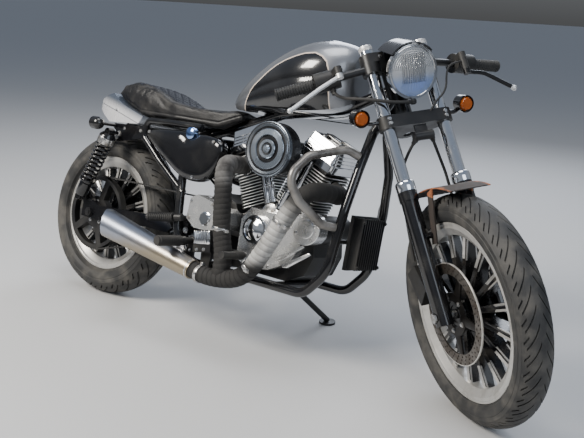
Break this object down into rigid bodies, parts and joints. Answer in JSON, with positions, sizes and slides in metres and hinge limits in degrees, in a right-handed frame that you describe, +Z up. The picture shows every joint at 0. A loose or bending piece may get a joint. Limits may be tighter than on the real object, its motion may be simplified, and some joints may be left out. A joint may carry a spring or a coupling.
{
  "type": "cruiser motorcycle",
  "caption": "Cruiser motorcycle with an air-cooled V-twin engine, clip-on handlebars and a solo seat, parked on its side stand.",
  "frame": {"origin": "on the floor, under the middle of the parked machine's bounding box", "axes": "+X towards the front wheel along the machine's length, +Y to the rider's left, +Z up"},
  "size_m": [2.1058, 0.7608, 1.0491],
  "materials": {
    "amber_glass": "amber",
    "brushed_steel": "brushed",
    "cast_aluminium": "satin",
    "chrome": "polished",
    "clear_glass": "clear",
    "gloss_black": "gloss",
    "leather": "stitched",
    "painted_silver": "metallic lacquer",
    "rubber": "matte",
    "rusty_steel": "rusty",
    "satin_black": "satin",
    "tyre": "matte",
    "wrap": "woven"
  },
  "bodies": {
    "chassis": {"frame": "gloss_black", "swingarm": "gloss_black", "rear_axle": "brushed_steel", "shock_bodies": "chrome", "shock_springs": "gloss_black", "fuel_tank": "painted_silver", "seat": "leather", "tail_cowl": "painted_silver", "side_tanks": "gloss_black", "filler_caps": "chrome", "crankcase": "satin_black", "cylinders": "satin_black", "rocker_covers": "chrome", "air_cleaner": "cast_aluminium", "engine_covers": "chrome", "pushrod_tubes": "chrome", "exhaust_pipes": "wrap", "muffler": "brushed_steel", "belt_drive": "rubber", "foot_pegs": "chrome", "foot_brake": "chrome", "engine_guard": "gloss_black", "regulator": "satin_black", "rear_signals": "gloss_black", "plate_strip": "brushed_steel", "rear_caliper": "satin_black"},
    "steering": {"fork_tubes": "chrome", "fork_lowers": "gloss_black", "fork_clamps": "satin_black", "front_axle": "brushed_steel", "lamp_shell": "satin_black", "lamp_rim": "chrome", "lamp_lens": "clear_glass", "lamp_visor": "painted_silver", "clip_on_bars": "satin_black", "grips": "rubber", "hand_controls": "satin_black", "levers": "cast_aluminium", "front_signals": "satin_black", "signal_lenses": "amber_glass", "front_fender": "rusty_steel", "front_calipers": "satin_black", "brake_lines": "rubber"},
    "rear_wheel": {"rear_tyre": "tyre", "rear_wheel": "cast_aluminium", "rear_disc": "brushed_steel", "rear_pulley": "cast_aluminium"},
    "front_wheel": {"front_tyre": "tyre", "front_wheel": "cast_aluminium", "front_discs": "brushed_steel"},
    "side_stand": {"side_stand": "satin_black"}
  },
  "joints": [
    {"name": "steering", "type": "hinge", "parent": "chassis", "child": "steering", "pos_m": [0.89908, -0.14695, 0.00464], "axis": [-0.5025, 0.1882, 0.8438], "range_deg": [0, 78]},
    {"name": "front_wheel", "type": "hinge", "parent": "steering", "child": "front_wheel", "pos_m": [0.76684, -0.11473, 0.32825], "axis": [0.5458, 0.826, 0.1408], "continuous": true},
    {"name": "rear_wheel", "type": "hinge", "parent": "chassis", "child": "rear_wheel", "pos_m": [-0.74501, -0.07726, 0.3024], "axis": [0.0022, 0.9763, -0.2164], "continuous": true},
    {"name": "side_stand", "type": "hinge", "parent": "chassis", "child": "side_stand", "pos_m": [0.02834, 0.04581, 0.17231], "axis": [0.0283, 0.7295, 0.6834], "range_deg": [0, 94.01]}
  ]
}
